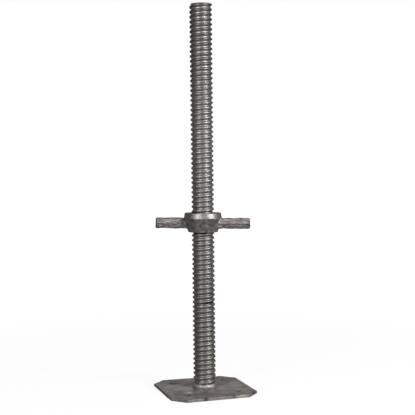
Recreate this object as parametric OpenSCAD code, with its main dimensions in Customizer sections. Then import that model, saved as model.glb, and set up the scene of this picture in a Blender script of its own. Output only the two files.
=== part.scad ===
// Scaffold base jack: a threaded steel stem welded to a square base plate,
// and a cast handle nut that screws up and down the stem to set the height
// of the scaffold tube that slides over the stem and stands on the nut.
// Millimetres, +Z up, origin at the middle of the base plate's underside.

/* [Stem] */
// Height of the whole jack, from the floor to the stem's cut end
jack_h = 650; // [400:10:800]
// Diameter over the thread's crests
stem_d = 38; // [28:0.5:50]
// Distance from one thread crest to the next
thread_pitch = 8.1; // [6:0.1:14]
// Height of the rounded thread, from root to crest
thread_depth = 2.6; // [1.5:0.1:3.5]
// Share of the pitch that a crest's rounded top takes
crest_share = 0.3; // [0.2:0.01:0.45]
// Share of the pitch that a root's rounded bottom takes
root_share = 0.24; // [0.1:0.01:0.4]
// Height of a crest's middle on the stem's +X side, above the floor
crest_z = 2.3; // [0:0.1:14]
// Facets that the thread may take: more of them make it rounder
thread_facets = 11500; // [6000:500:12500]

/* [Base plate] */
// Side of the square plate
plate_side = 150; // [110:5:220]
// Thickness of the plate
plate_t = 4.5; // [3:0.5:10]
// Length that each corner's cut takes off both sides
corner_cut = 21.5; // [5:0.5:30]
// Diameter of the four nail holes
nail_hole_d = 10; // [6:0.5:14]
// Distance from the plate's edges to a nail hole's centre
nail_hole_inset = 31; // [20:1:35]

/* [Foot weld] */
// Reach of the weld bead up the stem
weld_up = 9; // [4:0.5:14]
// Reach of the weld bead out over the plate
weld_out = 4.5; // [3:0.5:12]
// Height of the bead's curved face over the straight line between its toes
weld_bulge = 1; // [0.3:0.1:2]

/* [Handle nut] */
// Height of the nut's underside above the floor, where it stands at rest
nut_z = 270.9; // [30:0.1:350]
// Angle of the handles from the X axis
nut_turn = -30; // [-90:1:90]
// Height of the nut
nut_h = 31.7; // [24:0.1:50]
// Clearance all round between the thread's crests and the nut's bore
bore_clearance = 0.5; // [0.3:0.1:1]
// Wall of the hub round the bore at its lower end
hub_foot_wall = 5.4; // [3:0.1:12]
// Wall of the hub at its widest, the ridge under the collar
hub_ridge_wall = 12.7; // [8:0.1:18]
// Wall of the hub at its top, where the tube stands
hub_top_wall = 10.9; // [6:0.1:14]
// Height of the collar above the ridge
collar_h = 8.4; // [4:0.1:14]
// Bevel on the hub's top and bottom rims
rim_bevel = 1.2; // [0.3:0.1:2]

/* [Handles] */
// Length over both handles, tip to tip
handle_span = 160; // [130:1:240]
// Height of a handle
handle_h = 17.4; // [10:0.1:24]
// Width of a handle at its parting line, halfway up
handle_w = 14; // [8:0.5:20]
// Height of the handles' underside above the nut's
handle_rise = 6.1; // [2:0.1:16]
// Draft: how far a handle's sides lean in from the parting line
handle_draft = 1.3; // [0.3:0.1:2.5]
// Rounding of a handle's long edges and of its tip
handle_round = 2; // [0.5:0.1:3]
// How much wider a handle grows on each side where it joins the hub
root_flare = 5; // [1:0.5:8]
// Length of that flare, outwards from the hub's ridge
root_flare_l = 9; // [4:0.5:16]

/* [Hidden] */
$fn = 96;

stem_r = stem_d / 2;
root_r = stem_r - thread_depth;
bore_r = stem_r + bore_clearance;
foot_r = bore_r + hub_foot_wall;
ridge_r = bore_r + hub_ridge_wall;
top_r = bore_r + hub_top_wall;

// The thread's section over one turn: [share of the pitch, radius], from
// the start of a crest to the start of the next
flank_share = (1 - crest_share - root_share) / 2;
thread_section = [
    [0, stem_r],
    [crest_share, stem_r],
    [crest_share + flank_share, root_r],
    [1 - flank_share, root_r],
    [1, stem_r]
];
levels = 4;
thread_turns = (jack_h - plate_t) / thread_pitch;
thread_sides = floor(thread_facets / (2 * levels * thread_turns));

// Height at which a crest starts on the +X side, and the whole turns by which
// the thread begins below the plate's top, so that its ends can be cut flat
crest_start = crest_z - thread_pitch * crest_share / 2;
first_turn = floor((plate_t - crest_start) / thread_pitch) - 1;
thread_rows = levels * (ceil(thread_turns) + 3);

// Radius of the right-hand thread at an angle and a height
function thread_r(angle, z) =
    let (turns = (z - crest_start) / thread_pitch - angle / 360)
    lookup(turns - floor(turns), thread_section);

// Point of the stem's surface: column i runs up the stem at one angle, and
// row j follows one edge of the thread round it. What lies past an end of the
// stem is brought back to that end, which cuts the thread off square.
function stem_point(i, j) =
    let (
        angle = 360 * i / thread_sides,
        turns = first_turn + floor(j / levels) + thread_section[j % levels][0] + angle / 360,
        z = min(max(crest_start + turns * thread_pitch, plate_t), jack_h),
        r = thread_r(angle, z)
    )
    [r * cos(angle), r * sin(angle), z];

// Half the width that the flare adds to a handle at distance x from the axis
function flare(x) = root_flare * pow(max(0, 1 - max(0, x - ridge_r) / root_flare_l), 2);

// How far a handle's faces have drawn in at distance x, where its tip rounds off
function tip_round(x) =
    let (past = max(0, x - handle_span / 2 + handle_round))
    handle_round - sqrt(max(0, handle_round * handle_round - past * past));

// A handle's section at distance x: sides that lean in above and below the
// parting line, and bevelled corners
function handle_ring(x) =
    let (
        h = handle_h / 2 - tip_round(x),
        w = handle_w / 2 + flare(x) - tip_round(x),
        lean = w - handle_draft,
        b = handle_round * 0.6,
        right = [[lean - b, -h], [lean, b - h], [w, 0], [lean, h - b], [lean - b, h]]
    )
    concat(
        [for (p = right) [x, p[0], p[1]]],
        [for (k = [4:-1:0]) [x, -right[k][0], right[k][1]]]
    );

// Where a handle's sections stand: inside the hub, along the flare, at the
// start of the rounded tip and round it
handle_stations = concat(
    [(bore_r + foot_r) / 2],
    [for (s = [0:0.25:1]) ridge_r + s * root_flare_l],
    [for (a = [0:22.5:90]) handle_span / 2 - handle_round * (1 - sin(a))]
);

// Joins a row of rings, each with as many points, into one closed solid
module loft(rings) {
    n = len(rings[0]);
    last = len(rings) - 1;
    sides = [
        for (k = [0:last - 1]) for (i = [0:n - 1])
            let (a = k * n + i, b = k * n + (i + 1) % n)
            for (face = [[a, a + n, b], [b, a + n, b + n]]) face
    ];
    ends = [[for (i = [0:n - 1]) i], [for (i = [n - 1:-1:0]) last * n + i]];
    polyhedron([for (ring = rings) for (p = ring) p], concat(sides, ends), convexity = 4);
}

// Square plate with its corners cut off and a nail hole towards each corner
module base_plate() {
    half = plate_side / 2;
    hole_at = half - nail_hole_inset;
    color("#6f6c67") linear_extrude(plate_t) difference() {
        intersection() {
            square(plate_side, center = true);
            rotate(45) square((2 * plate_side - 2 * corner_cut) / sqrt(2), center = true);
        }
        for (x = [-hole_at, hole_at], y = [-hole_at, hole_at])
            translate([x, y]) circle(d = nail_hole_d);
    }
}

// Round bar with one rolled thread along its whole length, a true helix,
// standing on the plate
module stem() {
    points = [for (i = [0:thread_sides - 1]) for (j = [0:thread_rows]) stem_point(i, j)];
    // The last column meets the first again one turn higher
    function at(i, j) = i < thread_sides
        ? i * (thread_rows + 1) + j
        : min(j + levels, thread_rows);
    // Where rows meet at an end of the stem, a face has no area
    function has_area(face) =
        len([for (k = [0:2]) if (points[face[k]] == points[face[(k + 1) % 3]]) k]) == 0;
    wall = [
        for (i = [0:thread_sides - 1]) for (j = [0:thread_rows - 1])
            for (face = [
                [at(i, j), at(i, j + 1), at(i + 1, j + 1)],
                [at(i, j), at(i + 1, j + 1), at(i + 1, j)]
            ])
            if (has_area(face)) face
    ];
    foot = [for (i = [0:thread_sides - 1]) at(i, 0)];
    head = [for (i = [thread_sides - 1:-1:0]) at(i, thread_rows)];
    color("#85837f") polyhedron(points, concat(wall, [foot, head]), convexity = 10);
}

// Ring of weld in the corner between the stem and the plate. Its face is an
// arc through both toes that bulges outwards.
module foot_weld() {
    toes = sqrt(weld_up * weld_up + weld_out * weld_out);
    face_r = toes * toes / (8 * weld_bulge) + weld_bulge / 2;
    depth = face_r - weld_bulge;
    color("#93918d") translate([0, 0, plate_t]) rotate_extrude() intersection() {
        translate([stem_r, 0]) square(toes);
        translate([
            stem_r + weld_out / 2 - depth * weld_up / toes,
            weld_up / 2 - depth * weld_out / toes
        ]) circle(r = face_r);
    }
}

// The nut's hub: a cone that widens up to a ridge, with a bevelled collar on it
module hub() {
    ridge_z = nut_h - collar_h;
    rotate_extrude() polygon([
        [0, 0],
        [foot_r - rim_bevel, 0],
        [foot_r, rim_bevel],
        [ridge_r, ridge_z],
        [top_r, nut_h - rim_bevel],
        [top_r - rim_bevel, nut_h],
        [0, nut_h]
    ]);
}

// Cast nut: the hub and its two handles in one piece, bored for the stem
module nut() {
    color("#5f5d59") translate([0, 0, nut_z]) rotate(nut_turn) difference() {
        union() {
            hub();
            for (side = [0, 180])
                rotate(side) translate([0, 0, handle_rise + handle_h / 2])
                    loft([for (x = handle_stations) handle_ring(x)]);
        }
        translate([0, 0, -1]) cylinder(r = bore_r, h = nut_h + 2);
    }
}

base_plate();
stem();
foot_weld();
nut();
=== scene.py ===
import math

import bmesh
import bpy
import numpy as np
from mathutils import Matrix, Vector


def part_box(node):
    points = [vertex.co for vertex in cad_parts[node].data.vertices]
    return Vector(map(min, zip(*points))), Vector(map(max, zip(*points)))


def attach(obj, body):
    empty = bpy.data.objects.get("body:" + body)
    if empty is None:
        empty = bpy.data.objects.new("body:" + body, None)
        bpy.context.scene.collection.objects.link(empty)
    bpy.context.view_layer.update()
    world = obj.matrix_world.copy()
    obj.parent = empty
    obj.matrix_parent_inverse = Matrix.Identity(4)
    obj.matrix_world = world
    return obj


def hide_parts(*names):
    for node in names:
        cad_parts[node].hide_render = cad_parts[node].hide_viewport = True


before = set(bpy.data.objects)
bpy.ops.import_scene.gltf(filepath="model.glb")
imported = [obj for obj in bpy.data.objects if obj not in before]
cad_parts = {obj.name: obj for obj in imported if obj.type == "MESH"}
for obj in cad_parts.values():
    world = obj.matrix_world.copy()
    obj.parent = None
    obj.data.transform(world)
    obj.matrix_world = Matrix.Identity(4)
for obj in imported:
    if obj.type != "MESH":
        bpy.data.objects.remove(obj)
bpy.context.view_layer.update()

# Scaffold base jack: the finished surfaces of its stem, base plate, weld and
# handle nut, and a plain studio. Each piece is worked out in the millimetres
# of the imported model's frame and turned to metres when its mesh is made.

bl_info = {
    "name": "Scaffold Base Jack",
    "version": (1, 0, 0),
    "blender": (4, 5, 0),
    "location": "View3D > Sidebar > Base Jack",
    "description": "Makes a galvanised scaffold base jack with a screw stem and a cast handle nut",
    "category": "Add Mesh",
}

MM = 0.001
PLATE_LOW, PLATE_HIGH = (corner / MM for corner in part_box("base_plate"))
STEM_LOW, STEM_HIGH = (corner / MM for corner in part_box("stem"))
WELD_LOW, WELD_HIGH = (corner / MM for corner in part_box("foot_weld"))
NUT_LOW, NUT_HIGH = (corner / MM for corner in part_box("nut"))

# The stem's cut end, which stands a little above the plain model's
STEM_END = STEM_HIGH.z + 1.5


# ---------------------------------------------------------------- arithmetic

def smoothstep(low, high, value):
    """0 below low, 1 above high, and an S-curve between: t squared times 3 - 2t."""
    t = np.clip((value - low) / (high - low), 0, 1)
    return t * t * (3 - 2 * t)


def bell(value, width):
    """1 where value is 0 and less on both sides: e to the minus square of value over width."""
    return np.exp(-(value / width) ** 2)


def swell(points, size, seed):
    """Smooth unevenness from about -1 to 1: a sum of sine waves in random directions.

    Each wave's length lies between 0.7 and 1.6 times size, and the sum is
    divided by the root of the number of waves."""
    rng = np.random.default_rng(seed)
    waves = 18
    direction = rng.normal(size=(points.shape[1], waves))
    direction /= np.linalg.norm(direction, axis=0)
    length = size * rng.uniform(0.7, 1.6, waves)
    phase = rng.uniform(0, 2 * np.pi, waves)
    return np.sin(points @ (direction * 2 * np.pi / length) + phase).sum(1) / math.sqrt(waves)


def blend_max(a, b, width):
    """The larger of two fields, rounded over width where they are nearly equal.

    Adds a quarter of width times the square of how nearly equal they are."""
    near = np.clip(1 - np.abs(a - b) / width, 0, 1)
    return np.maximum(a, b) + near * near * width / 4


def blend_min(a, b, width):
    """The smaller of two fields, with a fillet of about width between them."""
    return -blend_max(-a, -b, width)


def turned(r, angle, z):
    """Points at a radius and an angle round the stem's axis, and at a height."""
    return np.stack([r * np.cos(angle), r * np.sin(angle), z], -1)


# -------------------------------------------------------------------- meshes

def grid_quads(rows, columns, close_rows=False, close_columns=False):
    """Corner numbers of the squares of a grid whose points run row by row.

    Square (i, j) joins points (i, j), (i, j+1), (i+1, j+1) and (i+1, j). A
    closed direction runs on from its last point to its first."""
    i = np.arange(rows if close_rows else rows - 1)[:, None]
    j = np.arange(columns if close_columns else columns - 1)[None, :]
    below, right = (i + 1) % rows, (j + 1) % columns
    corners = (i * columns + j, i * columns + right, below * columns + right, below * columns + j)
    return np.stack([np.broadcast_to(c, (i.size, j.size)) for c in corners], -1).reshape(-1, 4)


def make_piece(name, points, quads, body, node, material, attributes):
    """Puts points in millimetres and four-cornered faces into a mesh that rides on a body.

    Points in one place are merged, which closes seams and poles, and faces
    that this leaves with no area are dropped."""
    mesh = bpy.data.meshes.new(name)
    mesh.vertices.add(len(points))
    mesh.vertices.foreach_set("co", (points * MM).astype(np.float32).ravel())
    mesh.loops.add(quads.size)
    mesh.loops.foreach_set("vertex_index", quads.astype(np.int32).ravel())
    mesh.polygons.add(len(quads))
    mesh.polygons.foreach_set("loop_start", np.arange(0, quads.size, 4, dtype=np.int32))
    mesh.update(calc_edges=True)
    for key, values in attributes.items():
        layer = mesh.attributes.new(key, "FLOAT", "POINT")
        layer.data.foreach_set("value", values.astype(np.float32))
    work = bmesh.new()
    work.from_mesh(mesh)
    bmesh.ops.remove_doubles(work, verts=work.verts, dist=0.002 * MM)
    bmesh.ops.dissolve_degenerate(work, edges=work.edges, dist=0.001 * MM)
    bmesh.ops.recalc_face_normals(work, faces=work.faces)
    work.to_mesh(mesh)
    work.free()
    mesh.polygons.foreach_set("use_smooth", np.ones(len(mesh.polygons), bool))
    mesh.materials.append(material)
    piece = bpy.data.objects.new(name, mesh)
    bpy.context.scene.collection.objects.link(piece)
    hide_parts(node)
    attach(piece, body)
    return piece


def level_surface(field, low, high, step):
    """Surface on which field is 0, as points and four-cornered faces.

    The field is sampled on a grid. Each cell that the surface crosses gets
    one point, the mean of the crossings on the cell's edges, and each grid
    edge that it crosses gets a face through the four cells round that edge.
    Newton steps along the field's gradient then bring the points on to the
    surface."""
    shape = np.ceil((high - low) / step).astype(int) + 1
    nodes = low + step * np.moveaxis(np.indices(shape), 0, -1)
    value = field(nodes.reshape(-1, 3)).reshape(shape)
    cells = shape - 1
    total, count = np.zeros((*cells, 3)), np.zeros(cells)
    crossings = []
    for axis in range(3):
        a = np.take(value, range(shape[axis] - 1), axis)
        b = np.take(value, range(1, shape[axis]), axis)
        at = np.argwhere((a < 0) != (b < 0))
        here, there = a[tuple(at.T)], b[tuple(at.T)]
        place = low + step * at
        place[:, axis] += step * here / (here - there)
        u, v = (axis + 1) % 3, (axis + 2) % 3
        ring = []
        for du, dv in ((0, 0), (-1, 0), (-1, -1), (0, -1)):
            cell = at.copy()
            cell[:, u] += du
            cell[:, v] += dv
            np.add.at(total, tuple(cell.T), place)
            np.add.at(count, tuple(cell.T), 1)
            ring.append(cell)
        crossings.append((np.stack(ring, 1), here < 0))
    number = np.full(cells, -1)
    number[count > 0] = np.arange((count > 0).sum())
    points = total[count > 0] / count[count > 0][:, None]
    faces = []
    for ring, outwards in crossings:
        quad = number[tuple(np.moveaxis(ring, -1, 0))]
        faces.append(np.where(outwards[:, None], quad, quad[:, ::-1]))
    newton_steps, nudge, least_slope, longest_move = 3, 0.05, 0.2, step / 3
    for _ in range(newton_steps):
        sides = [field(points + d) - field(points - d) for d in nudge * np.eye(3)]
        slope = np.stack(sides, -1) / (2 * nudge)
        steepness = np.maximum((slope ** 2).sum(1), least_slope)
        move = field(points)[:, None] * slope / steepness[:, None]
        points = points - np.clip(move, -longest_move, longest_move)
    return points, np.concatenate(faces)


# ----------------------------------------------------------------- materials

# Sockets of a colour Mix node, which share their names with others
FACTOR, UNDER, OVER, MIXED = 0, 6, 7, 2


def linear(colour):
    """An sRGB hex colour as linear red, green, blue and alpha."""
    parts = [int(colour[k:k + 2], 16) / 255 for k in (1, 3, 5)]
    return [p / 12.92 if p <= 0.04045 else ((p + 0.055) / 1.055) ** 2.4 for p in parts] + [1.0]


def grain(size):
    """Scale of a pattern whose marks are this many millimetres across: how many go in a metre."""
    return 1 / (size * MM)


def add(tree, kind, inputs, output=0, **settings):
    """Adds a node with its settings, sets or links its inputs, and gives back one of its outputs."""
    made = tree.nodes.new(kind)
    for key, value in settings.items():
        setattr(made, key, value)
    for key, value in inputs.items():
        if isinstance(value, bpy.types.NodeSocket):
            tree.links.new(value, made.inputs[key])
        else:
            made.inputs[key].default_value = value
    return made.outputs[output]


def new_material(name):
    """A new material and its node tree, with no shader in it yet."""
    material = bpy.data.materials.new(name)
    material.use_nodes = True
    tree = material.node_tree
    tree.nodes.remove(tree.nodes["Principled BSDF"])
    return material, tree


def cover(tree, shader):
    """Gives the material's surface a shader."""
    tree.links.new(shader, tree.nodes["Material Output"].inputs["Surface"])


def layered(tree, ground, coats):
    """A ground colour with coats laid over it in turn, each by its own share from 0 to 1."""
    colour = ground
    for share, coat in coats:
        colour = add(tree, "ShaderNodeMix", {FACTOR: share, UNDER: colour, OVER: coat}, MIXED,
                     data_type="RGBA")
    return colour


def galvanised_thread(colours):
    """Hot-dip galvanised rolled steel thread.

    Even satin zinc, painted darker in the roots as painted shade, with duller
    crests near the top, where tubes slide over it, and painted darker towards
    the foot as painted shade. The lamps and cloths give soft lights along each
    turn and a dark line under it."""
    material, tree = new_material("hot_dip_galvanised_rolled_thread")
    place = add(tree, "ShaderNodeTexCoord", {}, "Object")
    # Patches of brighter and duller zinc, 8 mm across
    patches = add(tree, "ShaderNodeTexNoise", {"Vector": place, "Scale": grain(8.333), "Detail": 1.0}, "Fac")
    bright = add(tree, "ShaderNodeMapRange", {"Value": patches, "From Min": 0.3, "From Max": 0.7})
    # Fine streaks that the rollers left along the thread, 1.1 mm wide
    along = add(tree, "ShaderNodeMapping",
                {"Vector": place, "Scale": (grain(5.556), grain(5.556), grain(1.1111))})
    streaks = add(tree, "ShaderNodeTexNoise", {"Vector": along, "Scale": 1.0, "Detail": 2.0}, "Fac")
    # Painted shade in the roots and towards the foot, and dull wear on the crests near the top
    dull_and_shade = add(tree, "ShaderNodeAttribute", {}, "Fac", attribute_name="dull_and_shade")
    rust = add(tree, "ShaderNodeAttribute", {}, "Fac", attribute_name="rust")
    cover(tree, add(tree, "ShaderNodeBsdfPrincipled", {
        "Base Color": layered(tree, colours.stem_dark, (
            (bright, colours.stem_light), (dull_and_shade, colours.stem_dull_and_shade), (rust, colours.stem_rust))),
        "Metallic": 0.9,
        "Roughness": add(tree, "ShaderNodeMapRange", {"Value": bright, "To Min": 0.48, "To Max": 0.38}),
        "Normal": add(tree, "ShaderNodeBump", {"Strength": 0.12, "Distance": 0.2 * MM, "Height": streaks}),
    }))
    return material


def galvanised_plate(colours):
    """Hot-dip galvanised sheared steel plate.

    Dull zinc with cloudy patches and bright runs, some of them painted light,
    painted dark in its holes as painted shade, and darker along its left side
    and its stains. Thin dirt and shade only darken it, and where they are thick
    they hide its shine too."""
    material, tree = new_material("hot_dip_galvanised_plate")
    place = add(tree, "ShaderNodeTexCoord", {}, "Object")
    # Clouds, 18 mm across, that break up into specks
    clouds = add(tree, "ShaderNodeTexNoise", {"Vector": place, "Scale": grain(18.18), "Detail": 5.0,
                                              "Roughness": 0.66}, "Fac")
    cloudy = add(tree, "ShaderNodeMapRange", {"Value": clouds, "From Min": 0.38, "From Max": 0.62})
    # Pimples in the zinc, 2 mm across
    pimples = add(tree, "ShaderNodeTexNoise", {"Vector": place, "Scale": grain(2), "Detail": 3.0}, "Fac")
    # Bright runs of zinc, and painted light left of the weld
    bright = add(tree, "ShaderNodeAttribute", {}, "Fac", attribute_name="bright")
    # Stains and dirt, and painted shade in the holes
    dirt_and_shade = add(tree, "ShaderNodeAttribute", {}, "Fac", attribute_name="dirt_and_shade")
    deep_dirt_and_shade = add(tree, "ShaderNodeMapRange", {"Value": dirt_and_shade, "From Min": 0.4})
    cover(tree, add(tree, "ShaderNodeBsdfPrincipled", {
        "Base Color": layered(tree, colours.plate_dark, (
            (cloudy, colours.plate_light), (bright, colours.plate_bright_runs_and_light), (dirt_and_shade, colours.plate_dirt_and_shade))),
        "Metallic": add(tree, "ShaderNodeMapRange", {"Value": deep_dirt_and_shade, "To Min": 0.6, "To Max": 0.1}),
        "Roughness": add(tree, "ShaderNodeMapRange", {"Value": deep_dirt_and_shade, "To Min": 0.5, "To Max": 0.9}),
        "Normal": add(tree, "ShaderNodeBump", {"Strength": 0.2, "Distance": 0.3 * MM, "Height": pimples}),
    }))
    return material


def galvanised_weld(colours):
    """Arc-welded bead under zinc: dull at its foot, painted dark there as painted shade, and smooth where it
    meets the stem, painted bright there as a painted highlight.
    """
    material, tree = new_material("galvanised_weld_bead")
    place = add(tree, "ShaderNodeTexCoord", {}, "Object")
    # Clouds in the foot's zinc, 5 mm across
    clouds = add(tree, "ShaderNodeTexNoise", {"Vector": place, "Scale": grain(5), "Detail": 3.0}, "Fac")
    cloudy = add(tree, "ShaderNodeMapRange", {"Value": clouds, "From Min": 0.35, "From Max": 0.65})
    rise = add(tree, "ShaderNodeAttribute", {}, "Fac", attribute_name="rise")
    # Painted highlight on the bead's upper face, where the lamps shine on it
    bright = add(tree, "ShaderNodeMapRange", {"Value": rise, "From Min": 0.42, "From Max": 0.6})
    cover(tree, add(tree, "ShaderNodeBsdfPrincipled", {
        "Base Color": layered(tree, colours.weld_dull_and_shade, (
            (cloudy, colours.plate_dark), (bright, colours.weld_bright_and_highlight))),
        "Metallic": add(tree, "ShaderNodeMapRange", {"Value": bright, "To Min": 0.3, "To Max": 1.0}),
        "Roughness": add(tree, "ShaderNodeMapRange", {"Value": bright, "To Min": 0.7, "To Max": 0.58}),
    }))
    return material


def galvanised_casting(colours):
    """Galvanised ductile iron, sand cast.

    A rough skin, mottled dark on the hub and lighter with slanting streaks on
    the handles, whose ends are painted dark as painted shade, and a collar
    rubbed bright where the tube stands and turns, with painted highlights where
    the lamps shine on it and painted shade on its left."""
    material, tree = new_material("galvanised_sand_cast_iron")
    place = add(tree, "ShaderNodeTexCoord", {}, "Object")
    # Mottles on the hub, 7 mm across
    clouds = add(tree, "ShaderNodeTexNoise", {"Vector": place, "Scale": grain(6.667), "Detail": 4.0,
                                              "Roughness": 0.6}, "Fac")
    mottled = add(tree, "ShaderNodeMapRange", {"Value": clouds, "From Min": 0.35, "From Max": 0.65})
    # Streaks on the handles, 11 mm long and 1.7 mm wide
    slant = add(tree, "ShaderNodeMapping", {"Vector": place, "Rotation": (0.0, 0.5, -0.5),
                                            "Scale": (grain(11.11), grain(3.846), grain(1.6667))})
    streaks = add(tree, "ShaderNodeTexNoise", {"Vector": slant, "Scale": 1.0, "Detail": 3.0}, "Fac")
    streaky = add(tree, "ShaderNodeMapRange", {"Value": streaks, "From Min": 0.38, "From Max": 0.62})
    # Sand marks, drawn 1.7 mm across, because real ones of 0.5 mm are too fine to show
    sand = add(tree, "ShaderNodeTexNoise", {"Vector": place, "Scale": grain(1.6667), "Detail": 3.0}, "Fac")
    on_handle, end_shade, on_collar, rubbed = (
        add(tree, "ShaderNodeAttribute", {}, "Fac", attribute_name=name)
        for name in ("handle", "end", "collar", "rubbed"))
    # Sand marks and the collar's rubbing, whose two brightest patches are painted highlights
    grain_and_highlight = add(tree, "ShaderNodeMath", {0: sand, 1: 1.8, 2: rubbed}, operation="MULTIPLY_ADD")
    polish_and_highlight = add(tree, "ShaderNodeMapRange", {"Value": grain_and_highlight, "From Min": 0.7, "From Max": 2.1})
    hub = layered(tree, colours.hub_dark, ((mottled, colours.hub_light),))
    # The handles' ends are painted dark as painted shade
    handle = layered(tree, colours.handle_dark, (
        (streaky, colours.handle_light), (end_shade, colours.handle_end_shade)))
    collar = layered(tree, colours.collar_dark, ((polish_and_highlight, colours.collar_rubbed_and_highlight),))
    cover(tree, add(tree, "ShaderNodeBsdfPrincipled", {
        "Base Color": layered(tree, hub, ((on_handle, handle), (on_collar, collar))),
        "Metallic": 0.85,
        "Roughness": add(tree, "ShaderNodeMapRange", {"Value": on_collar, "To Min": 0.56, "To Max": 0.5}),
        "Normal": add(tree, "ShaderNodeBump", {"Strength": 0.35, "Distance": 0.3 * MM, "Height": sand}),
    }))
    return material


# ------------------------------------------------------------------ settings

def length_setting(name, description, default):
    """A length that a user would change, given in millimetres and kept in metres."""
    return bpy.props.FloatProperty(name=name, description=description, default=default * MM,
                                   min=0.0, unit="LENGTH", subtype="DISTANCE")


def angle_setting(name, description, default):
    """An angle that a user would change, given in degrees and kept in radians."""
    return bpy.props.FloatProperty(name=name, description=description, default=math.radians(default),
                                   unit="ROTATION", subtype="ANGLE")


def colour_setting(name, description, default):
    """A colour that a user would change, given as sRGB hex and kept linear."""
    return bpy.props.FloatVectorProperty(name=name, description=description, default=linear(default),
                                         size=4, min=0.0, max=1.0, subtype="COLOR")


class StemSettings(bpy.types.PropertyGroup):
    """Sizes of the screw stem."""
    radius: length_setting("Radius", "Radius over the thread's crests", STEM_HIGH.x)
    pitch: length_setting("Pitch", "Distance from one crest to the next", 8.1)
    depth: length_setting("Depth", "Height of the thread from root to crest", 2.6)
    first_crest: length_setting("First crest", "Height of a crest on the +X side", 2.3)


class PlateSettings(bpy.types.PropertyGroup):
    """Sizes of the base plate."""
    corner_cut: length_setting("Corner cut", "Length that a corner's cut takes off both sides", 21.5)
    hole_radius: length_setting("Hole radius", "Radius of a nail hole", 5.0)
    hole_inset: length_setting("Hole inset", "Distance from the edges to a hole's centre", 31.0)


class WeldSettings(bpy.types.PropertyGroup):
    """Sizes of the weld bead."""
    height: length_setting("Height", "Reach of the bead up the stem", WELD_HIGH.z - WELD_LOW.z)
    reach: length_setting("Reach", "Reach of the bead out over the plate, half the plain model's",
                          0.5 * (WELD_HIGH.x - STEM_HIGH.x))


class NutSettings(bpy.types.PropertyGroup):
    """Sizes of the cast handle nut."""
    turn: angle_setting("Turn", "Angle of the handles from the X axis", -30)
    lean: angle_setting("Lean", "How far the nut hangs askew in the thread's play", 0.3)
    foot_radius: length_setting("Foot radius", "Radius of the hub at its underside", 24.9)
    ridge_radius: length_setting("Ridge radius", "Radius of the hub at its widest", 31.9)
    top_radius: length_setting("Top radius", "Radius of the hub's top rim", 30.7)
    collar: length_setting("Collar", "Height of the collar above the ridge", 8.4)
    handle_span: length_setting("Handle span", "Length over both handles", 161.4)
    handle_height: length_setting("Handle height", "Height of a handle", 17.7)
    handle_width: length_setting("Handle width", "Width of a handle at its parting line", 14.0)
    handle_rise: length_setting("Handle rise", "Height of the handles' underside above the nut's", 6.0)


class ColourSettings(bpy.types.PropertyGroup):
    """Colours of the zinc on each piece."""
    stem_light: colour_setting("Stem light", "Brighter satin zinc of the thread", "#A7A6A3")
    stem_dark: colour_setting("Stem dark", "Duller zinc patches of the thread", "#8C8B88")
    # Painted shade in the roots and towards the foot, and dull zinc on rubbed crests
    stem_dull_and_shade: colour_setting("Stem dull", "Dull zinc in the roots and on rubbed crests", "#62605D")
    stem_rust: colour_setting("Stem rust", "Rust in one root of the thread", "#3A2A24")
    plate_light: colour_setting("Plate light", "Lighter zinc clouds", "#AAA59F")
    plate_dark: colour_setting("Plate dark", "Darker zinc clouds", "#827D78")
    # Bright runs of zinc, and painted light left of the weld
    plate_bright_runs_and_light: colour_setting("Plate bright", "Bright runs of zinc on the plate", "#E2DFDA")
    # Painted shade in the holes, and the colour of stains and of the darker left side
    plate_dirt_and_shade: colour_setting("Plate dirt", "Dirt in the holes and on the sheared edges", "#32302E")
    # Painted highlight on the bead's upper face, over smooth zinc
    weld_bright_and_highlight: colour_setting("Weld light", "Bright zinc on the bead", "#AAA8A4")
    # Painted shade at the bead's dull foot
    weld_dull_and_shade: colour_setting("Weld dark", "Dull foot of the bead", "#605D59")
    hub_light: colour_setting("Hub light", "Lighter skin of the hub", "#A19E9A")
    hub_dark: colour_setting("Hub dark", "Darker skin of the hub", "#5A5754")
    handle_light: colour_setting("Handle light", "Lighter skin of the handles", "#9F9997")
    handle_dark: colour_setting("Handle dark", "Darker skin of the handles", "#625D5C")
    # Painted shade round the ends of the handles
    handle_end_shade: colour_setting("Handle ends", "Dull skin round the ends of the handles", "#3E3C3B")
    # Rubbed zinc, and painted highlights where the lamps shine on the collar
    collar_rubbed_and_highlight: colour_setting("Collar light", "Zinc of the collar where it is rubbed most", "#CFCDC9")
    collar_dark: colour_setting("Collar dark", "Zinc of the collar where it is rubbed least", "#686663")


class StudioSettings(bpy.types.PropertyGroup):
    """Place and lens of the camera, which the lamps stand round."""
    azimuth: angle_setting("Azimuth", "Camera's angle round the jack", -17.96)
    distance: length_setting("Distance", "Camera's distance from the stem's axis", 1650.0)
    height: length_setting("Height", "Camera's height above the floor", 396.0)
    aim_height: length_setting("Aim height", "Height of the point that the camera looks at", 287.7)
    aim_right: length_setting("Aim right", "How far right of the axis the camera looks", 7.74)
    roll: angle_setting("Roll", "Camera's turn about its own line of sight", -0.612)
    lens: bpy.props.FloatProperty(name="Lens", description="Focal length", default=84.93,
                                  subtype="DISTANCE_CAMERA", unit="CAMERA")
    shift: bpy.props.FloatProperty(name="Shift", default=0.0347,
                                   description="How far up the lens is shifted, as a share of the picture")


# -------------------------------------------------------------------- shapes

def thread_section(turns):
    """Share of the thread's height at a number of turns from a crest's middle.

    A cosine put through a sine, which keeps crests and roots broad and round
    and makes the flanks between them steep."""
    return 0.5 + 0.5 * np.sin(0.5 * np.pi * np.cos(2 * np.pi * turns))


def thread_radius(angle, z, stem):
    """Radius of the right-hand thread at an angle and a height, and its share of the depth."""
    share = thread_section((z - stem.first_crest / MM) / (stem.pitch / MM) - angle / (2 * np.pi))
    return (stem.radius - stem.depth * (1 - share)) / MM, share


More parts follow.
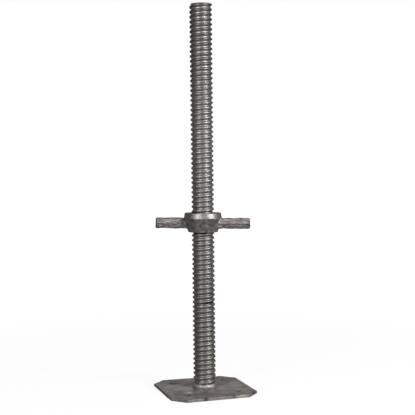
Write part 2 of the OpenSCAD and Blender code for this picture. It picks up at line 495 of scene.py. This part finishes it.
def stem_wear_and_shade(angle, z, share, stem):
    """How dull, how darkened by painted shade and how rusty the thread is, at an angle, a height and a share
    of its depth.

    Roots are painted a little darker as painted shade, but near the top end,
    which tubes slide over, crests are dull instead, and all the zinc is painted
    darker towards the foot as painted shade. Rust fills one root for a stretch,
    under a faint brown bloom: each is a bell curve along the axis times one
    round it."""
    root, crest = 1 - smoothstep(0, 0.45, share), smoothstep(0.25, 0.8, share)
    rubbed = smoothstep(STEM_END - 230, STEM_END - 60, z)
    foot = 1 - smoothstep(STEM_LOW.z + 120, STEM_LOW.z + 420, z)
    # Painted shade in the roots and towards the foot, and dull wear on the crests near the top
    dull_and_shade = 0.25 * (1 - rubbed) * root + 0.85 * rubbed * crest + 0.26 * foot
    rust_angle, rust_z, rust_slope, bloom_z = -1.3, 152.1, 0.07, 166
    along = np.angle(np.exp(1j * (angle - rust_angle))) * stem.radius / MM
    rust = 1.3 * bell(z - rust_z - rust_slope * along, 1.8) * bell(along + 2, 11)
    bloom = 0.34 * bell(z - bloom_z, 13) * bell(along - 3, 8)
    return np.clip(dull_and_shade, 0, 1), np.clip(rust + bloom, 0, 1)


def stem_surface(stem):
    """Points, faces, and wear and painted shade of the screw stem.

    The two parameters are the angle round the stem and the turns along the
    thread, so that rows follow the helix: z is the pitch times the turns plus
    the angle's share of a turn. Rows past an end are brought back to it, and
    rings there run in to the axis and close it."""
    around, along = 96, 12
    pitch, crest = stem.pitch / MM, stem.first_crest / MM
    low, high = STEM_LOW.z, STEM_END
    first = math.floor((low - crest) / pitch) - 1
    rows = along * (math.ceil((high - low) / pitch) + 3)
    angle = 2 * np.pi * np.arange(around)[:, None] / around
    turns = first + np.arange(rows + along + 1) / along
    z = np.clip(crest + pitch * (turns + angle / (2 * np.pi)), low, high)
    angle = np.broadcast_to(angle, z.shape)
    r, share = thread_radius(angle, z, stem)
    uneven, uneven_size, bevel = 0.06, 16, 0.3
    r = r + uneven * swell(turned(r, angle, z).reshape(-1, 3), uneven_size, 1).reshape(r.shape)
    r = np.minimum(r, stem.radius / MM - np.clip(z - (high - bevel), 0, bevel))
    points = turned(r, angle, z)
    # The last column meets the first again one turn higher
    count = z.shape[1]
    i = np.arange(around)[:, None]
    j = np.arange(count - along - 1)[None, :]
    beside = np.where(i == around - 1, j + along, (i + 1) * count + j)
    quads = np.stack([i * count + j, beside, beside + 1, i * count + j + 1], -1).reshape(-1, 4)
    # Where rows meet at an end, a face has no height
    wall = points.reshape(-1, 3)
    quads = quads[np.ptp(wall[quads][:, :, 2], axis=1) > 1e-6]
    ring_parts, cut_dull = (1, 0.93, 0.6, 0.3, 0), 0.4
    foot, head = (
        np.concatenate([points[:, row] * [part, part, 0] + [0, 0, end] for part in ring_parts])
        for row, end in ((0, low), (count - 1, high)))
    cap = grid_quads(len(ring_parts), around, close_columns=True)
    dull_and_shade, rust = stem_wear_and_shade(angle, z, share, stem)
    ends = len(foot) + len(head)
    return (np.concatenate([wall, foot, head]),
            np.concatenate([quads, cap + len(wall), cap + len(wall) + len(foot)]),
            {"dull_and_shade": np.concatenate([dull_and_shade.ravel(), np.full(ends, cut_dull)]),
             "rust": np.concatenate([rust.ravel(), np.zeros(ends)])})


def plate_outline(plate):
    """Outline of the plate's +X +Y quarter, as points in order round it.

    Straight stretches from the middle along X, up the outer side, over the
    cut corner, back along the other side and down to the middle, each
    divided evenly."""
    half, steps_per_half = PLATE_HIGH.x, 70
    cut = half - plate.corner_cut / MM
    corners = np.array([(0, 0), (half, 0), (half, cut), (cut, half), (0, half), (0, 0)], float)
    stretches = []
    for a, b in zip(corners[:-1], corners[1:]):
        steps = max(2, int(round(steps_per_half * np.linalg.norm(b - a) / half)))
        stretches.append(a + (b - a) * np.arange(steps)[:, None] / steps)
    return np.concatenate(stretches)


def plate_sheet(plate):
    """Flat points of the plate, its faces, and which of the points are on a hole's rim.

    Each quarter is a fan round its nail hole: one parameter runs along the
    quarter's outline, the other from the hole's rim out to it, and turned
    copies make up the whole. The underside is the same sheet again, and walls
    join the two round the holes and along the plate's edges."""
    outline = plate_outline(plate)
    half, cut = PLATE_HIGH.x, plate.corner_cut / MM
    centre = half - plate.hole_inset / MM
    out = outline - centre
    rim = centre + out / np.linalg.norm(out, axis=1)[:, None] * plate.hole_radius / MM
    rows, columns = 24, len(outline)
    quarter = rim + (outline - rim) * np.linspace(0, 1, rows)[:, None, None]
    quarter_turns = [np.array([[c, s], [-s, c]]) for c, s in ((1, 0), (0, 1), (-1, 0), (0, -1))]
    flat = np.concatenate([quarter.reshape(-1, 2) @ turn for turn in quarter_turns])
    column = np.arange(columns)
    almost = 0.01
    outside = (outline.max(1) > half - almost) | (outline.sum(1) > 2 * half - cut - almost)
    edge = column[outside & outside[(column + 1) % columns]]
    quads = []
    for start in range(0, len(flat), rows * columns):
        sheet = grid_quads(rows, columns, close_columns=True) + start
        quads += [sheet, sheet + len(flat)]
        for first, at in ((start, column), (start + (rows - 1) * columns, edge)):
            top = np.stack([first + at, first + (at + 1) % columns], 1)
            quads.append(np.concatenate([top, top[:, ::-1] + len(flat)], 1))
    on_rim = np.tile(np.repeat(np.arange(rows) == 0, columns), len(quarter_turns))
    return flat, np.concatenate(quads), on_rim


# Stains and runs on the plate, some of them painted light and shade: x and y of the middle, half length,
# half width, strength
# Dark stains; the one beside the weld, at 30, 7, is painted shade
DARK_STAINS_AND_SHADE = (
    (-46, -14, 9, 4, 0.4), (-20, 38, 4, 4, 0.35), (30, 7, 7, 5, 0.35), (48, -19, 8, 4, 0.4),
    (-44, -44, 6, 6, 0.2), (44, -44, 7, 6, 0.3), (-44, 44, 6, 6, 0.2), (-5, -52, 40, 16, 0.36),
    (27, -74, 4, 4, 0.6), (66, -62, 4, 6, 1.1), (-22.3, -75, 3, 9, 1.0), (-57, -73, 3, 4, 0.6),
)
# Bright runs of zinc; the one left of the weld, at -24, 4, is painted light over the stem's shade and
# reflection on the plate
BRIGHT_RUNS_AND_LIGHT = (
    (-38, -26, 8, 4, 0.6), (-34, -25, 3, 4, 0.9), (40, -76, 14, 4, 0.4), (-13, -20, 5, 4, 0.3),
    (-45, 20, 25, 18, 0.26), (48, -5, 18, 30, 0.16), (-24, 4, 9, 14, 0.45),
)


def plate_stain(flat, spots):
    """Strength of stains and runs that the zinc left as it ran off, and of painted light and shade, all one
    way.

    Each is a bell curve along that way times one across it."""
    stain = 0
    for x, y, length, width, strength in spots:
        along = (flat - (x, y)) @ (0.951, -0.308)
        across = (flat - (x, y)) @ (0.308, 0.951)
        stain = stain + strength * bell(along, length) * bell(across, width)
    return np.clip(stain, 0, 1)


def plate_surface(plate):
    """Points, faces, and stains and painted light and shade of the plate, closed, with its four nail holes.

    The top swells and sinks a little, the outline wanders where it was
    sheared, and one corner is bent up along a line across it."""
    flat, quads, on_rim = plate_sheet(plate)
    half, cut = PLATE_HIGH.x, plate.corner_cut / MM
    past_cut = np.abs(flat).sum(1) - (2 * half - cut)
    near_edge = smoothstep(half - 5, half, np.maximum(np.abs(flat).max(1), past_cut + half))
    wander = 0.2 * swell(flat, 26, 11) + 0.12 * swell(flat, 7, 12) - 0.1
    flat = flat * (1 + near_edge * wander / half)[:, None]
    # Stains and runs, with painted shade beside the weld and painted light left of it
    dark, bright = plate_stain(flat, DARK_STAINS_AND_SHADE), plate_stain(flat, BRIGHT_RUNS_AND_LIGHT)
    beyond_weld = smoothstep(26, 48, np.linalg.norm(flat, axis=1))
    height = beyond_weld * (0.16 * swell(flat, 70, 13) + 0.06 * swell(flat, 22, 14)) + 0.3 * bright - 0.15
    bent = 1.2 * smoothstep(35, 95, (flat[:, 1] - flat[:, 0]) / math.sqrt(2))
    # Painted shade in all holes but one, deeper in the front ones, and the sheared left side darker too
    hole_shade = on_rim * (flat.sum(1) < 60) * np.where(flat[:, 1] < 0, 0.85, 0.6)
    left = smoothstep(half - 1.5, half - 0.6, -flat[:, 0])
    side = np.maximum(dark, 0.8 * left)
    top_dirt_and_shade = np.maximum(side, 0.9 * hole_shade)
    under_dirt_and_shade = np.maximum(np.maximum(side, hole_shade), 0.25)
    top = np.column_stack([flat, PLATE_HIGH.z + height + bent])
    under = np.column_stack([flat, PLATE_LOW.z + bent])
    return (np.concatenate([top, under]), quads,
            {"dirt_and_shade": np.concatenate([top_dirt_and_shade, under_dirt_and_shade]), "bright": np.tile(bright, 2)})


def weld_surface(weld):
    """Points, faces and rise of the weld bead, a closed ring.

    One parameter runs round the stem and the other round the bead's section:
    up its bulging face, from the toe on the plate to the toe in the thread's
    root, and back down inside the stem. The face ripples where each pool of
    weld set over the last."""
    around, face_steps = 240, 14
    angle = 2 * np.pi * np.arange(around)[:, None] / around
    t = np.linspace(0, 1, face_steps)[None, :]
    bow = np.sin(np.pi * t)
    ring_radius, pools, toe_in = 25, 23, 1.6
    uneven = 1 + 0.08 * swell(turned(ring_radius, angle, 0 * angle)[:, 0, :2], 22, 21)[:, None]
    ripple = 0.07 * bow * np.sin(angle * pools + 2.2 * np.sin(3 * angle))
    # The foot keeps a little inside its reach, so that most of its swells do too
    up, out = weld.height / MM * uneven, 0.97 * weld.reach / MM * uneven
    r = STEM_HIGH.x + (1 - t + 0.16 * bow) * out + ripple - toe_in * t ** 4
    z = WELD_LOW.z + (t + 0.08 * bow) * up + ripple * 0.4
    # Its hidden back stands inside the stem and is sunk into the plate
    inside, sunk = 3.4, 0.5
    back = [(-inside, 0.8 * weld.height / MM), (-inside, -sunk), (0.5 * weld.reach / MM, -sunk)]
    back_r, back_z = (np.array(back) + [STEM_HIGH.x, WELD_LOW.z]).T
    r = np.concatenate([r, np.broadcast_to(back_r, (around, len(back)))], 1)
    z = np.concatenate([z, np.broadcast_to(back_z, (around, len(back)))], 1)
    points = turned(r, angle, z).reshape(-1, 3)
    rise = (points[:, 2] - WELD_LOW.z) / (weld.height / MM)
    return points, grid_quads(around, face_steps + len(back), True, True), rise


def nut_shapes(points, nut):
    """Distances, roughly, from the skins of the hub and of the handles and from the handles' ends.

    They are below 0 inside. The hub is the overlap of a cone that widens
    upwards, the collar's cone that narrows, and two level planes; each handle
    is the overlap of drafted sides, a top, a bottom and an end."""
    x, y, z = points.T
    c, s = math.cos(nut.turn), math.sin(nut.turn)
    along, across = c * x + s * y, -s * x + c * y
    up = z - NUT_LOW.z + along * math.tan(nut.lean)
    radius = np.hypot(x, y)
    ridge, foot, top = nut.ridge_radius / MM, nut.foot_radius / MM, nut.top_radius / MM
    height = NUT_HIGH.z - NUT_LOW.z
    ridge_z = height - nut.collar / MM
    lower, upper = (ridge - foot) / ridge_z, (ridge - top) / (height - ridge_z)
    cone = (radius - foot - lower * up) / math.hypot(1, lower)
    collar = (radius - ridge + upper * (up - ridge_z)) / math.hypot(1, upper)
    top_rise, ridge_round, rim_round = 0.5, 0.3, 0.9
    hub = blend_max(blend_max(cone, collar, ridge_round), np.maximum(up - height - top_rise, -up), rim_round)
    half_h, half_w = nut.handle_height / MM / 2, nut.handle_width / MM / 2
    middle = up - nut.handle_rise / MM - half_h
    off_centre, flare_width, flare_length, draft, edge_round, tip_round = 0.7, 1.8, 6, 1.0, 2.4, 2.8
    reach = np.abs(along + off_centre)
    flare = flare_width * np.clip(1 - (reach - ridge) / flare_length, 0, 1.3) ** 2
    # 0.98 brings the field's slope on the drafted sides back to about 1
    side = (np.abs(across) - half_w - flare + draft * np.abs(middle) / half_h) * 0.98
    tip = reach - nut.handle_span / MM / 2
    handle = blend_max(blend_max(side, np.abs(middle) - half_h, edge_round), tip, tip_round)
    # A seam where the mould's halves met, and a skin that is rougher on the
    # handles, with ridges that slant across them
    seam_height, seam_width = 0.3, 0.7
    seam = seam_height * bell(middle, seam_width) * smoothstep(24, 34, reach)
    slant = np.stack([along * 0.35, across, up + 0.3 * along], -1)
    rough = 0.25 * swell(points, 14, 31) + 0.16 * swell(slant, 4.5, 32)
    smooth = 0.08 * swell(points, 13, 33) + 0.04 * swell(points, 5, 34)
    return hub - smooth, handle - seam - rough, tip


def nut_field(points, nut, stem):
    """Distance, roughly, from the casting's skin: below 0 inside it.

    Hub and handles are joined by a fillet, and the thread's own radius plus
    a clearance is taken out of the middle, with a bevelled mouth at each
    end."""
    x, y, z = points.T
    radius = np.hypot(x, y)
    fillet, clearance, mouth_depth, mouth_round = 2.0, 0.35, 1.5, 0.6
    hub, handle, _ = nut_shapes(points, nut)
    bore = thread_radius(np.arctan2(y, x), z, stem)[0] + clearance - radius
    mouth = STEM_HIGH.x + 0.2 - radius + mouth_depth + np.maximum(z - NUT_HIGH.z, NUT_LOW.z - z)
    return blend_max(blend_min(hub, handle, fillet), np.maximum(bore, mouth), mouth_round)


def nut_wear(points, nut):
    """Which of the nut's skin is handle, collar, rubbed collar with painted highlights, and handle's end
    with painted shade, each from 0 to 1.

    The collar is rubbed most in two places, each a bell curve round it, which
    are painted highlights where the lamps shine on it, and it is painted dark
    left of them as painted shade. The ends of the handles are painted dark as
    painted shade, one handle's more than the other's."""
    hub, arm, tip = nut_shapes(points, nut)
    handle = smoothstep(0.5, 3.5, hub - arm)
    ridge_z = NUT_HIGH.z - nut.collar / MM
    collar = smoothstep(ridge_z - 0.1, ridge_z + 0.5, points[:, 2]) * (1 - handle)
    angle = np.arctan2(points[:, 1], points[:, 0])
    from_first = np.degrees(angle) + 123
    # Painted highlights where the lamps shine on the collar, and painted shade left of them
    rubbed = 0.1 + 0.8 * bell(from_first, 12) + 0.5 * bell(from_first - 44, 13)
    rubbed = rubbed * smoothstep(-22, -8, from_first)
    # Painted shade at the handles' ends, darker at one handle's end
    left = np.cos(angle - nut.turn) < 0
    end = np.where(left, smoothstep(-3.6, -2.0, tip), 0.5 * smoothstep(-1.4, -0.5, tip))
    return {"handle": handle, "collar": collar, "rubbed": rubbed, "end": end}


# ----------------------------------------------------------------- operators

class BASEJACK_OT_stem(bpy.types.Operator):
    """Add the galvanised screw stem"""
    bl_idname = "mesh.basejack_stem"
    bl_label = "Screw Stem"

    def execute(self, context):
        scene = context.scene
        points, quads, wear = stem_surface(scene.basejack_stem)
        make_piece("screw_stem", points, quads, "jack_base", "stem",
                   galvanised_thread(scene.basejack_colours), wear)
        return {"FINISHED"}


class BASEJACK_OT_plate(bpy.types.Operator):
    """Add the sheared base plate with its nail holes"""
    bl_idname = "mesh.basejack_plate"
    bl_label = "Base Plate"

    def execute(self, context):
        scene = context.scene
        points, quads, stains = plate_surface(scene.basejack_plate)
        plate = make_piece("sheared_base_plate", points, quads, "jack_base", "base_plate",
                           galvanised_plate(scene.basejack_colours), stains)
        bevel = plate.modifiers.new("edges", "BEVEL")
        bevel.width = 0.45 * MM
        bevel.segments = 2
        bevel.limit_method = "ANGLE"
        bevel.angle_limit = math.radians(50)
        plate.modifiers.new("flat_faces", "WEIGHTED_NORMAL")
        return {"FINISHED"}


class BASEJACK_OT_weld(bpy.types.Operator):
    """Add the weld bead round the stem's foot"""
    bl_idname = "mesh.basejack_weld"
    bl_label = "Foot Weld"

    def execute(self, context):
        scene = context.scene
        points, quads, rise = weld_surface(scene.basejack_weld)
        make_piece("weld_bead", points, quads, "jack_base", "foot_weld",
                   galvanised_weld(scene.basejack_colours), {"rise": rise})
        return {"FINISHED"}


class BASEJACK_OT_nut(bpy.types.Operator):
    """Add the cast nut with its two handles"""
    bl_idname = "mesh.basejack_nut"
    bl_label = "Handle Nut"

    def execute(self, context):
        scene = context.scene
        nut, stem = scene.basejack_nut, scene.basejack_stem
        margin, step = 3.0, 0.7
        points, quads = level_surface(lambda p: nut_field(p, nut, stem),
                                      np.array(NUT_LOW) - margin, np.array(NUT_HIGH) + margin, step)
        make_piece("cast_handle_nut", points, quads, "nut", "nut",
                   galvanised_casting(scene.basejack_colours), nut_wear(points, nut))
        return {"FINISHED"}


class BASEJACK_OT_studio(bpy.types.Operator):
    """Add the pale floor, the soft lamps and the camera"""
    bl_idname = "scene.basejack_studio"
    bl_label = "Studio"

    def execute(self, context):
        studio = context.scene.basejack_studio
        make_floor()
        make_world(context.scene)
        make_cloths(studio)
        make_lamps(studio)
        make_camera(context.scene, studio)
        return {"FINISHED"}


# -------------------------------------------------------------------- studio

def seen_directly(tree):
    """1 for what the camera sees itself, or sees mirrored in metal or through glass."""
    path = add(tree, "ShaderNodeLightPath", {}).node.outputs
    either = add(tree, "ShaderNodeMath", {0: path["Is Camera Ray"], 1: path["Is Glossy Ray"]},
                 operation="MAXIMUM")
    return add(tree, "ShaderNodeMath", {0: either, 1: path["Is Transmission Ray"]}, operation="MAXIMUM")


def floor_paint():
    """Matt white floor paint that is mostly plain white to the eye, so that it keeps a faint shadow.

    Further out it is quite white, like the surround behind it. Under the
    plate it is plain paint, so that it doesn't glow through the nail holes."""
    material, tree = new_material("matt_white_floor_paint")
    place = add(tree, "ShaderNodeTexCoord", {}, "Object")
    away = add(tree, "ShaderNodeVectorMath", {0: place}, "Value", operation="LENGTH")
    outwards = add(tree, "ShaderNodeMapRange", {"Value": away, "From Min": 0.25, "From Max": 1.3,
                                                "To Min": 0.87}, interpolation_type="SMOOTHSTEP")
    plate_edge = PLATE_HIGH.x * MM
    clear = add(tree, "ShaderNodeMapRange", {"Value": away, "From Min": plate_edge - 0.005,
                                             "From Max": plate_edge - 0.001})
    share = seen_directly(tree)
    for part in (outwards, clear):
        share = add(tree, "ShaderNodeMath", {0: share, 1: part}, operation="MULTIPLY")
    paint = add(tree, "ShaderNodeBsdfDiffuse", {"Color": linear("#F8F8F6")})
    white = add(tree, "ShaderNodeEmission", {"Color": linear("#FFFFFF"), "Strength": 1.02})
    cover(tree, add(tree, "ShaderNodeMixShader", {0: share, 1: paint, 2: white}))
    return material


def studio_sheet(name, material, points, faces):
    """A flat studio piece, with points in millimetres, that isn't part of the jack."""
    mesh = bpy.data.meshes.new(name)
    mesh.from_pydata([(x * MM, y * MM, z * MM) for x, y, z in points], [], faces)
    mesh.materials.append(material)
    sheet = bpy.data.objects.new(name, mesh)
    bpy.context.scene.collection.objects.link(sheet)
    return sheet


def level_square(reach, z):
    """Corners of a level square round the axis, and its one face."""
    return [(-reach, -reach, z), (reach, -reach, z), (reach, reach, z), (-reach, reach, z)], [(0, 1, 2, 3)]


def make_floor():
    """A wide pale floor, just under the plate."""
    reach, below = 20000, 0.2
    floor = studio_sheet("studio_floor", floor_paint(), *level_square(reach, -below))


def make_world(scene):
    """An even pale surround that is white where it is seen."""
    world = bpy.data.worlds.new("pale_surround")
    scene.world = world
    world.use_nodes = True
    tree = world.node_tree
    background = tree.nodes["Background"]
    background.inputs["Color"].default_value = linear("#FFFFFF")
    strength = add(tree, "ShaderNodeMapRange", {"Value": seen_directly(tree), "To Min": 0.4})
    tree.links.new(strength, background.inputs["Strength"])


def make_cloth(name, grey, points, faces):
    """A plain cloth of an even grey that only mirrors show."""
    material, tree = new_material(name)
    cover(tree, add(tree, "ShaderNodeEmission", {"Color": linear(grey), "Strength": 1.0}))
    cloth = studio_sheet(name, material, points, faces)
    cloth.visible_camera = cloth.visible_diffuse = cloth.visible_shadow = False


def make_cloths(studio):
    """Grey cloths round, over and under the jack, for its zinc to mirror, open in front of each lamp.

    Without them the zinc would mirror nothing but white and lose its dark
    sides. Each upright one hangs on an arc, in degrees from the camera."""
    radius, top, arc = 2100.0, 2400.0, 6
    for name, grey, first, last in (("front_cloth", "#AAAAAA", -20, 26), ("back_cloth", "#707070", 70, 240),
                                    ("left_cloth", "#565656", 240, 306)):
        steps = (last - first) // arc
        turns = [studio.azimuth + math.radians(first + (last - first) * k / steps) for k in range(steps + 1)]
        points = [(radius * math.sin(a), -radius * math.cos(a), z) for z in (0, top) for a in turns]
        faces = [(k, k + 1, k + steps + 2, k + steps + 1) for k in range(steps)]
        make_cloth(name, grey, points, faces)
    for name, grey, z in (("floor_cloth", "#686868", -0.1), ("ceiling_cloth", "#8C8C8C", top)):
        make_cloth(name, grey, *level_square(radius, z))


def make_lamps(studio):
    """Two upright soft boxes in front of the jack, to the camera's left and right.

    Each stands at an angle from the camera's side, in degrees, and looks
    down at the middle of the stem."""
    aim = Vector((0, 0, 0.33))
    rise, distance, tall = math.radians(25), 1.6, 1.0
    for name, degrees, wide, power in (("left_soft_box", -31, 0.33, 9.5),
                                       ("right_soft_box", 51.5, 0.52, 19.5)):
        turn = studio.azimuth + math.radians(degrees)
        data = bpy.data.lights.new(name, "AREA")
        data.shape = "RECTANGLE"
        data.size, data.size_y, data.energy = wide, tall, power
        lamp = bpy.data.objects.new(name, data)
        away = Vector((math.cos(rise) * math.sin(turn), -math.cos(rise) * math.cos(turn), math.sin(rise)))
        lamp.location = aim + distance * away
        lamp.rotation_euler = (-away).to_track_quat("-Z", "Y").to_euler()
        bpy.context.scene.collection.objects.link(lamp)


def make_camera(scene, studio):
    """A long lens, a little higher than the middle of the stem, that looks slightly down."""
    right = Vector((math.cos(studio.azimuth), math.sin(studio.azimuth), 0))
    camera = bpy.data.objects.new("camera", bpy.data.cameras.new("camera"))
    camera.data.lens = studio.lens
    camera.data.shift_y = studio.shift
    camera.location = Vector((studio.distance * math.sin(studio.azimuth),
                              -studio.distance * math.cos(studio.azimuth), studio.height))
    aim = right * studio.aim_right + Vector((0, 0, studio.aim_height))
    look = (aim - camera.location).to_track_quat("-Z", "Y").to_matrix()
    camera.rotation_euler = (look @ Matrix.Rotation(studio.roll, 3, "Z")).to_euler()
    scene.collection.objects.link(camera)
    scene.camera = camera
    scene.view_settings.view_transform = "Standard"


# --------------------------------------------------------------------- panel

class BASEJACK_PT_panel(bpy.types.Panel):
    """Buttons, sizes and colours of the base jack"""
    bl_label = "Scaffold Base Jack"
    bl_idname = "BASEJACK_PT_panel"
    bl_space_type = "VIEW_3D"
    bl_region_type = "UI"
    bl_category = "Base Jack"

    def draw(self, context):
        for settings in SETTINGS:
            box = self.layout.box()
            if settings in OPERATORS:
                box.operator(OPERATORS[settings].bl_idname)
            group = getattr(context.scene, settings)
            for key in group.__annotations__:
                box.prop(group, key)


SETTINGS = {
    "basejack_stem": StemSettings,
    "basejack_plate": PlateSettings,
    "basejack_weld": WeldSettings,
    "basejack_nut": NutSettings,
    "basejack_studio": StudioSettings,
    "basejack_colours": ColourSettings,
}
OPERATORS = {
    "basejack_stem": BASEJACK_OT_stem,
    "basejack_plate": BASEJACK_OT_plate,
    "basejack_weld": BASEJACK_OT_weld,
    "basejack_nut": BASEJACK_OT_nut,
    "basejack_studio": BASEJACK_OT_studio,
}
CLASSES = (*SETTINGS.values(), *OPERATORS.values(), BASEJACK_PT_panel)


def register():
    """Adds the classes, and each group of settings to the scene."""
    for cls in CLASSES:
        bpy.utils.register_class(cls)
    for key, group in SETTINGS.items():
        setattr(bpy.types.Scene, key, bpy.props.PointerProperty(type=group))


def unregister():
    """Takes the settings and the classes away again."""
    for key in SETTINGS:
        delattr(bpy.types.Scene, key)
    for cls in reversed(CLASSES):
        bpy.utils.unregister_class(cls)


def main():
    """Makes every piece in order."""
    register()
    bpy.ops.mesh.basejack_stem()
    bpy.ops.mesh.basejack_plate()
    bpy.ops.mesh.basejack_weld()
    bpy.ops.mesh.basejack_nut()
    bpy.ops.scene.basejack_studio()


if __name__ == "__main__":
    main()
